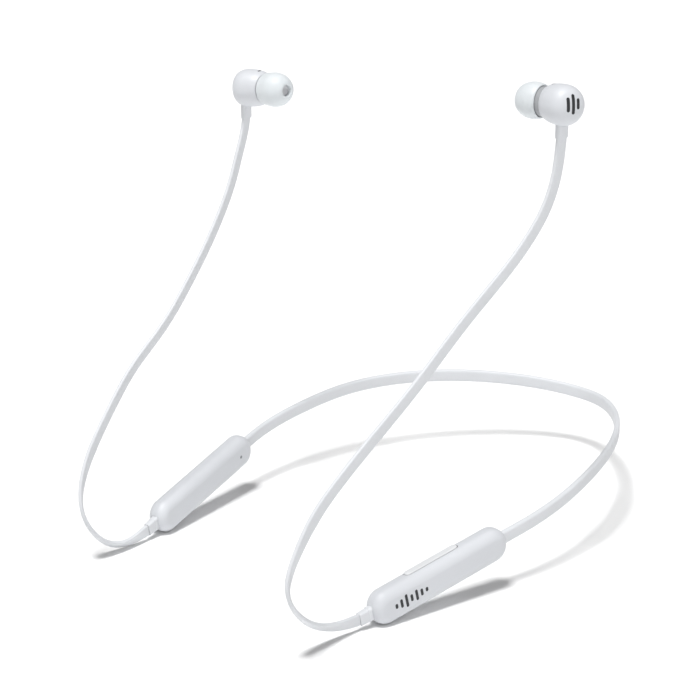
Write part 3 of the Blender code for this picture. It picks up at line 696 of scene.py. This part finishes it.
def half_shell(facing):
    """One half of the housing: a soft pill with a wall, open where the halves meet."""
    face = HOUSING_THICKNESS / 2
    steps = fillet_steps(EDGE_RADIUS, 10)
    outside = [shell_ring(facing, face - EDGE_RADIUS + rise, inset) for inset, rise in steps]
    outside.insert(0, shell_ring(facing, SEAM / 2, 0))
    inner_steps = fillet_steps(EDGE_RADIUS - WALL, 6)
    inside = [shell_ring(facing, face - EDGE_RADIUS + rise, WALL + inset) for inset, rise in inner_steps]
    inside.insert(0, shell_ring(facing, SEAM / 2, WALL))
    return loft(outside[::-1] + inside)


def disc_cutter(radius, facing, y):
    """A round opening through a housing's flat face."""
    reach, radius = CUT / MM, radius / MM
    disc = turned([(-reach, 0), (-reach, radius), (reach, radius), (reach, 0)], segments=56)
    return facing_x(disc, facing, (facing * HOUSING_THICKNESS / 2, y, 0))


def port_cutters():
    """Openings for the neckband at the rear end and for the cable's sleeve at the front end."""
    cutters = []
    for half_x, half_z, corner, y in (
            (NECK_THICKNESS / 2, NECK_WIDTH / 2, NECK_CORNER, HOUSING_LENGTH / 2),
            (*RELIEF_HALF, RELIEF_CORNER, -HOUSING_LENGTH / 2)):
        cutter = along_y(soft_slab(half_x + PORT_FIT, half_z + PORT_FIT, corner, -CUT, CUT, 0))
        cutter.transform(Matrix.Translation((0, y, 0)))
        cutters.append(cutter)
    return cutters


def upright_slot(half_x, half_y, radius, x, y, z):
    """A long opening through a housing's upper or lower edge."""
    slot = soft_slab(half_x, half_y, radius, z - CUT, z + CUT, 0, per_corner=10, splits=(1, 12))
    slot.transform(Matrix.Translation((x, y, 0)))
    return slot


def left_cutters(facing):
    """Openings of a half of the left housing: keys, charging port and microphone."""
    cutters = port_cutters()
    half_length, half_width = ROCKER_HALF
    cutters.append(upright_slot(half_width + ROCKER_FIT, half_length + ROCKER_FIT,
                                half_width + ROCKER_FIT * 0.98, ROCKER_AT.x, ROCKER_AT.y,
                                HOUSING_HEIGHT / 2 + 1 * MM))
    cutters.append(upright_slot(*USB_SLOT, 0, USB_Y, -HOUSING_HEIGHT / 2))
    radius = MICROPHONE_HOLE_RADIUS / MM
    hole = turned([(-8, 0), (-8, radius), (-4, radius), (-4, 0)], segments=32)
    hole.transform(Matrix.Translation((0, MICROPHONE_Y, 0)))
    cutters.append(hole)
    if facing < 0:
        cutters.append(disc_cutter(PLAY_BUTTON[0] + FIT, facing, PLAY_BUTTON[1]))
    return cutters


def right_cutters(facing):
    """Openings of a half of the right housing: power button and status light."""
    cutters = port_cutters()
    if facing < 0:
        cutters.append(disc_cutter(POWER_BUTTON[0] + FIT, facing, POWER_BUTTON[1]))
        cutters.append(disc_cutter(STATUS_HOLE_RADIUS, facing, STATUS_LIGHT_Y))
    return cutters


def build_sleeve(side_name):
    """The cable's sleeve at the housing's front: a collar against the housing, then a slimmer nose."""
    front = -HOUSING_LENGTH / 2
    collar_front = front - 1.2 * MM
    thick, tall = RELIEF_HALF
    slimmer = 0.12 * MM
    base = along_y(soft_slab(thick, tall, 0.9 * MM, collar_front, front + 2.7 * MM, RIM))
    nose = along_y(soft_slab(thick - slimmer, tall - slimmer, 0.85 * MM, front - RELIEF_LENGTH,
                             collar_front + 0.5 * MM, RIM, taper=0.16 * MM))
    flange = along_y(soft_slab(*SLEEVE_FLANGE, front + 2.6 * MM, front + 4.2 * MM, RIM))
    piece(side_name + "_cable_sleeve", carved(base, added=(nose, flange)), RIBBON, ROOT,
          (side_name + "_housing_relief",), HOUSING[side_name], angle=50)


def button_profile(radius, stem_end):
    """Round key: a shallow dish, a fillet, a flange behind the wall and a stem, in mm."""
    top, fillet, stem = 0.25, 0.12, 0.9
    flange_front, flange_back, flange_radius = -1.3, -1.6, radius + 0.5
    rim = [(top - fillet * (1 - math.sin(t)), radius - fillet * (1 - math.cos(t)))
           for t in (math.pi / 2 * i / 5 for i in range(5, -1, -1))]
    dish = curved([(top - 0.10, 0.0), (top - 0.08, radius * 0.45), (top, radius - 0.42)])
    back = [(flange_front, radius), (flange_front, flange_radius), (flange_back, flange_radius),
            (flange_back, stem), (stem_end, stem), (stem_end, 0)]
    return dish + rim + back


def build_buttons():
    """Play button on the left housing's inner face, power button on the right housing's outer face."""
    face = -HOUSING_THICKNESS / 2
    for name, side_name, (radius, y), stem_end in (("play_button", "left", PLAY_BUTTON, -3.2),
                                                   ("power_button", "right", POWER_BUTTON, -2.6)):
        key = facing_x(turned(button_profile(radius / MM, stem_end), segments=64), -1, (face, y, 0))
        piece(name + "_key", key, KEY, name, (name,), HOUSING[side_name])


def build_rocker():
    """The volume key: a long, slightly crowned lens with feet for the pivot and the two switches."""
    half_length, half_width = ROCKER_HALF
    low, shoulder = ROCKER_TOP - 1.7 * MM, ROCKER_TOP - ROCKER_EDGE - ROCKER_CROWN
    levels = [(0, low), (0, shoulder)]
    levels += [(inset, shoulder + rise) for inset, rise in fillet_steps(ROCKER_EDGE, 6)[1:]]
    levels.append((0.95 * MM, ROCKER_TOP - 0.03 * MM))
    rings = []
    for inset, z in levels:
        outline = rounded_outline(half_width - inset, half_length - inset, (half_width - inset) * 0.985,
                                  per_corner=10, splits=(1, 20))
        rings.append([Vector((x, y, z)) for x, y in outline])
    body = loft(rings)
    feet = []
    for y, bottom in ROCKER_FEET:
        foot = soft_slab(*ROCKER_FOOT, bottom, low + 0.5 * MM, 0.08 * MM, per_corner=3)
        foot.transform(Matrix.Translation((0, y, 0)))
        feet.append(foot)
    piece("volume_key", carved(body, added=feet), KEY, "volume_rocker", ("volume_rocker",),
          HOUSING["left"] @ Matrix.Translation(ROCKER_AT), weighted=True)


def build_port():
    """The charging port's steel lining and its tongue with contact pads."""
    low = -HOUSING_HEIGHT / 2 + 0.1 * MM
    lining = soft_slab(*USB_LINING, low, low + 6.4 * MM, 0.1 * MM, per_corner=10)
    bore = soft_slab(*USB_BORE, low - 1 * MM, low + 5.8 * MM, 0.05 * MM, per_corner=10)
    lining = carved(lining, (bore,))
    lining.transform(Matrix.Translation((0, USB_Y, 0)))
    piece("port_lining", lining, STEEL, ROOT, ("usb_c_shell",), HOUSING["left"])
    tongue = soft_slab(*USB_TONGUE, low + 1.1 * MM, low + 5.5 * MM, 0.12 * MM, per_corner=5)
    tongue.transform(Matrix.Translation((0, USB_Y, 0)))
    piece("port_tongue", tongue, BLACK, ROOT, ("usb_c_tongue",), HOUSING["left"])
    for side in (1, -1):
        pads = []
        for i in range(CONTACTS):
            pad = soft_slab(*CONTACT, low + 1.5 * MM, low + 4.2 * MM, 0.01 * MM, per_corner=2)
            offset = (i - (CONTACTS - 1) / 2) * CONTACT_PITCH
            pad.transform(Matrix.Translation((side * CONTACT_X, USB_Y + offset, 0)))
            pads.append(pad)
        piece("port_contacts_" + ("outer" if side > 0 else "inner"), joined(pads), COPPER, ROOT,
              frame_matrix=HOUSING["left"])


def face_bars(bars, place):
    """Printed bars on a housing's +X face: (offset, height, width) each, along the housing."""
    shapes = []
    for offset, height, width in bars:
        bar = soft_slab(height / 2, width / 2, min(width, height) * 0.49, 0, PRINT_THICKNESS, 0.008 * MM,
                        per_corner=6)
        bar.transform(Matrix.Translation((0, offset, 0)))
        shapes.append(bar)
    return facing_x(joined(shapes), 1, (HOUSING_THICKNESS / 2, place, 0))


def build_housings():
    """Both housings, each of two halves, with their keys, port, light and printed marks."""
    for side_name, cutters_for in (("left", left_cutters), ("right", right_cutters)):
        side = SIDES[side_name]
        for half_name, facing in (("outer", side), ("inner", -side)):
            shell = carved(half_shell(facing), cutters_for(facing))
            piece(side_name + "_" + half_name + "_housing", shell, SHELL, ROOT,
                  (side_name + "_" + half_name + "_shell",), HOUSING[side_name], weighted=True, angle=30)
        build_sleeve(side_name)
    build_rocker()
    build_buttons()
    build_port()
    window = facing_x(turned([(-2.2, 0), (-2.2, 0.6), (-0.08, 0.6), (0, 0.5), (0.02, 0)], segments=40), -1,
                      (-HOUSING_THICKNESS / 2, STATUS_LIGHT_Y, 0))
    piece("status_window", window, LENS, ROOT, ("status_light",), HOUSING["right"])
    bars = [((i - len(LEVEL_BARS) // 2) * LEVEL_BAR_PITCH, height * MM, LEVEL_BAR_WIDTH)
            for i, height in enumerate(LEVEL_BARS)]
    piece("level_bars_print", face_bars(bars, LEVEL_BARS_Y), DARK_PRINT_AND_SHADE, ROOT, frame_matrix=HOUSING["left"])
    piece("side_dot_print", face_bars([(0, SIDE_DOT, SIDE_DOT)], SIDE_DOT_Y), PALE_PRINT, ROOT,
          frame_matrix=HOUSING["right"])


build_housings()


# ---------------------------------------------------------------- earbuds

# All earbud profiles are (along the axis, radius) in mm.
BUD_SIDE = curved([(-4.5, 0.0), (-4.46, 1.2), (-4.34, 2.4), (-4.12, 3.4), (-3.74, 4.35), (-3.04, 5.3),
                   (-2.0, 6.05), (-0.6, 6.57), (1.0, 6.75), (3.4, 6.65), (5.6, 6.3), (7.2, 5.75),
                   (8.0, 5.38)])
CAP_END = 25                        # where the cap meets the barrel, as a place in that list
TIP_SIDE = [(19.0, 2.35), (18.9, 3.0), (18.2, 4.1), (17.0, 5.05), (15.4, 5.75), (13.4, 6.1), (11.7, 6.0)]
TIP_REAR = {"left": 10.0, "right": 8.8}             # the right tip is pushed further over its collar
COLLAR_REAR, COLLAR_FRONT, COLLAR_RADIUS, COLLAR_BORE, COLLAR_RIM = 8.28, 10.9, 4.95, 2.65, 0.14
STEM_HALF, STEM_CORNER = (2.42 * MM, 1.05 * MM), 0.9 * MM
STEM_SLOT_HALF, STEM_SLOT_CORNER = (2.47 * MM, 1.1 * MM), 0.95 * MM
DOME_BARS = ((-1.9, 3.6, 1.15), (0, 6.6, 1.15), (1.9, 4.8, 1.15))   # offset, height, width in mm
DOME_BARS_MIDDLE = 1.1              # mm above the dome's middle
DOME_BAR_COLUMNS = 24
VENT_SIZE = (0.75 * MM, 0.3 * MM, 0.29 * MM)        # half length, half width, corner
VENT_PLACE, VENT_TILT = (0, 6.27 * MM, 5.8 * MM), 0.2


def build_cap(side_name):
    """The bud's domed back."""
    profile = BUD_SIDE[:CAP_END + 1] + [(-3.04, 4.5)] + curved([(-3.4, 4.0), (-3.6, 2.6), (-3.7, 0)], 4)
    piece(side_name + "_bud_dome", turned(profile), SHELL, ROOT, (side_name + "_bud_cap",), BUD[side_name])


def relief_frame(side_name):
    """Foot of the stem under a bud, turned with the cable's ribbon: local X across the ribbon's width."""
    end = Vector(CABLE_ROUTES[side_name][-1]) * MM
    turn = math.radians(CABLE_TWISTS[side_name][-1][1])
    return Matrix.Translation(end) @ Matrix.Rotation(turn + math.pi / 2, 4, "Z")


def build_barrel(side_name):
    """The bud's body behind the ear: bent towards the ear canal, with a slot for the stem."""
    mouth = [(8.16, 5.28), (8.2, 5.1), (8.2, 3.2), (7.2, 3.2), (7.0, 4.7)]
    inside = curved([(7.0, 4.7), (4.0, 5.6), (0.6, 5.7), (-1.7, 5.2), (-3.0, 4.5)], 4)[1:]
    side = SIDES[side_name]
    barrel = turned(BUD_SIDE[CAP_END:] + mouth + inside, closed=True, where=lambda p: bent(side, p))
    slot = soft_slab(*STEM_SLOT_HALF, STEM_SLOT_CORNER, 1.5 * MM, 5.4 * MM, 0)
    slot.transform(BUD[side_name].inverted() @ relief_frame(side_name))
    piece(side_name + "_bud_body", carved(barrel, (slot,)), SHELL, ROOT, (side_name + "_bud_barrel",),
          BUD[side_name], angle=45)


def build_stem(side_name):
    """The strain relief between the cable's end and the bud's body."""
    stem = soft_slab(*STEM_HALF, STEM_CORNER, -0.35 * MM, 4.8 * MM, 0.1 * MM)
    piece(side_name + "_bud_stem", stem, RIBBON, ROOT, (side_name + "_bud_relief",), relief_frame(side_name))


def build_collar(side_name):
    """The grey ring between the barrel and the soft tip."""
    rear, front, outer, rim = COLLAR_REAR, COLLAR_FRONT, COLLAR_RADIUS, COLLAR_RIM
    profile = [(rear, COLLAR_BORE), (rear, outer - rim), (rear + rim, outer), (front - rim, outer),
               (front, outer - rim), (front, COLLAR_BORE)]
    piece(side_name + "_bud_ring", turned(profile, closed=True), GREY, ROOT, (side_name + "_bud_collar",),
          NOZZLE[side_name])


def build_nozzle(side_name):
    """The nozzle's tube with its rib, and the gauze over its mouth."""
    profile = [(16.6, 1.6), (16.6, 2.2), (16.5, 2.3), (16.25, 2.42), (16.0, 2.6), (15.8, 2.5), (15.4, 2.3),
               (6.9, 2.3), (6.9, 1.5), (16.5, 1.5)]
    piece(side_name + "_nozzle_tube", turned(profile, closed=True, segments=56), GREY, ROOT,
          (side_name + "_bud_nozzle",), NOZZLE[side_name])
    gauze = curved([(17.66, 0), (17.64, 1.0), (17.58, 1.92)], 4) + [(17.4, 2.3), (16.75, 2.25), (16.85, 1.2),
                                                                (16.9, 0)]
    piece(side_name + "_sound_gauze", turned(gauze, segments=56), GAUZE, ROOT, (side_name + "_bud_screen",),
          NOZZLE[side_name])


def build_tip(side_name):
    """Soft tip: a bullet skirt turned back over a core tube that grips the nozzle."""
    mouth = curved([(17.6, 1.95), (18.2, 1.97), (18.75, 2.05), (19.0, 2.35)], 4)
    rear = TIP_REAR[side_name]
    skirt = curved(TIP_SIDE + [(rear + 0.45, 5.7), (rear + 0.05, 5.42)])[1:]
    lip = [(rear, 5.25), (rear + 0.1, 5.1), (rear + 0.45, 5.07)]
    inside = curved([(12.6, 5.4), (15.0, 5.0), (16.2, 4.2), (16.6, 3.5)], 4)
    core = [(11.5, 3.5), (11.4, 3.4), (11.4, 3.0), (11.5, 2.95), (17.5, 2.95)]
    profile = mouth + skirt + lip + inside + core
    piece(side_name + "_soft_tip", turned(profile, closed=True, segments=96), SILICONE,
          side_name + "_ear_tip", (side_name + "_ear_tip",), NOZZLE[side_name], angle=60)


def dome_height(radius):
    """Where the dome's outer face is along the bud's axis, in mm, at a distance from the axis."""
    for (z0, r0), (z1, r1) in zip(BUD_SIDE[:CAP_END], BUD_SIDE[1:]):
        if radius <= r1:
            return z0 + (z1 - z0) * (radius - r0) / (r1 - r0)
    return BUD_SIDE[CAP_END][0]


def dome_bar(offset, height, width):
    """A printed bar with round ends that follows the dome, as a grid of columns along its height."""
    rows = []
    for i in range(DOME_BAR_COLUMNS + 1):
        along = (i / DOME_BAR_COLUMNS - 0.5) * height
        from_end = height / 2 - abs(along)
        along += DOME_BARS_MIDDLE
        half = width / 2
        if from_end < half:
            half = math.sqrt(max(half ** 2 - (half - from_end) ** 2, 0.0004))
        across = [offset + half * t for t in (-1, -0.5, 0, 0.5, 1)]
        surface = [dome_height(math.hypot(x, along)) for x in across]
        under = [Vector((x, along, z + 0.01)) * MM for x, z in zip(across, surface)]
        over = [Vector((x, along, z - PRINT_THICKNESS / MM)) * MM for x, z in zip(across, surface)]
        rows.append(over + under[::-1])
    return loft(rows)


def build_bud_marks():
    """Three printed bars on the left dome, and on top of each barrel's front a thin dark sheet in place of a
    vent slit: painted shade for the slit's inside.
    """
    bars = joined(dome_bar(*bar) for bar in DOME_BARS)
    piece("dome_bars_print", bars, DARK_PRINT_AND_SHADE, ROOT, frame_matrix=BUD["left"])
    for side_name, side in SIDES.items():
        # the vent is not cut: a thin dark sheet on the surface stands for the slit, its dark colour painted
        # shade
        vent = soft_slab(*VENT_SIZE, -0.3 * MM, 0.015 * MM, 0.02 * MM)
        vent.transform(Matrix.Translation(VENT_PLACE) @ Matrix.Rotation(-math.pi / 2 + VENT_TILT, 4, "X"))
        for vert in vent.verts:
            vert.co = bent(side, vert.co)
        piece(side_name + "_bud_vent_shade", vent, DARK_PRINT_AND_SHADE, ROOT, frame_matrix=BUD[side_name])


for side_name in SIDES:
    build_cap(side_name)
    build_barrel(side_name)
    build_stem(side_name)
    build_collar(side_name)
    build_nozzle(side_name)
    build_tip(side_name)
build_bud_marks()


# ---------------------------------------------------------------- floor and light

FLOOR_Z = CAD_BOX[0][2] - 0.2 * MM
FLOOR_REACH = 60.0                  # metres each way, so that its edge is never in view
WORLD_STRENGTH = 0.17

FLOOR = Recipe("floor")
FLOOR.colours(FLOOR.noise(3, 2), [(0.3, (0.93, 0.93, 0.93)), (0.7, (0.95, 0.95, 0.95))])
FLOOR.fixed(Roughness=0.9, Specular_IOR_Level=0.1)

grid = bmesh.new()
bmesh.ops.create_grid(grid, x_segments=2, y_segments=2, size=FLOOR_REACH)
floor_mesh = bpy.data.meshes.new("floor")
grid.to_mesh(floor_mesh)
grid.free()
floor_mesh.materials.append(FLOOR.material)
floor = bpy.data.objects.new("floor", floor_mesh)
floor.location = (0, 0, FLOOR_Z)
bpy.context.scene.collection.objects.link(floor)

world = bpy.data.worlds.new("studio")
world.use_nodes = True
background = world.node_tree.nodes["Background"]
background.inputs["Color"].default_value = (1, 1, 1, 1)
background.inputs["Strength"].default_value = WORLD_STRENGTH
bpy.context.scene.world = world
bpy.context.scene.view_settings.view_transform = "Standard"


def soft_sun(name, towards, spread, power):
    """Light from a broad, distant source, even over the whole floor."""
    data = bpy.data.lights.new(name, "SUN")
    data.angle = math.radians(spread)
    data.energy = power
    light = bpy.data.objects.new(name, data)
    light.rotation_euler = Vector(towards).to_track_quat("Z", "Y").to_euler()
    bpy.context.scene.collection.objects.link(light)


soft_sun("key_light", towards=(0.03, -0.32, 1.08), spread=16, power=3.1)
soft_sun("side_fill", towards=(1.0, -0.25, 0.35), spread=90, power=1.05)
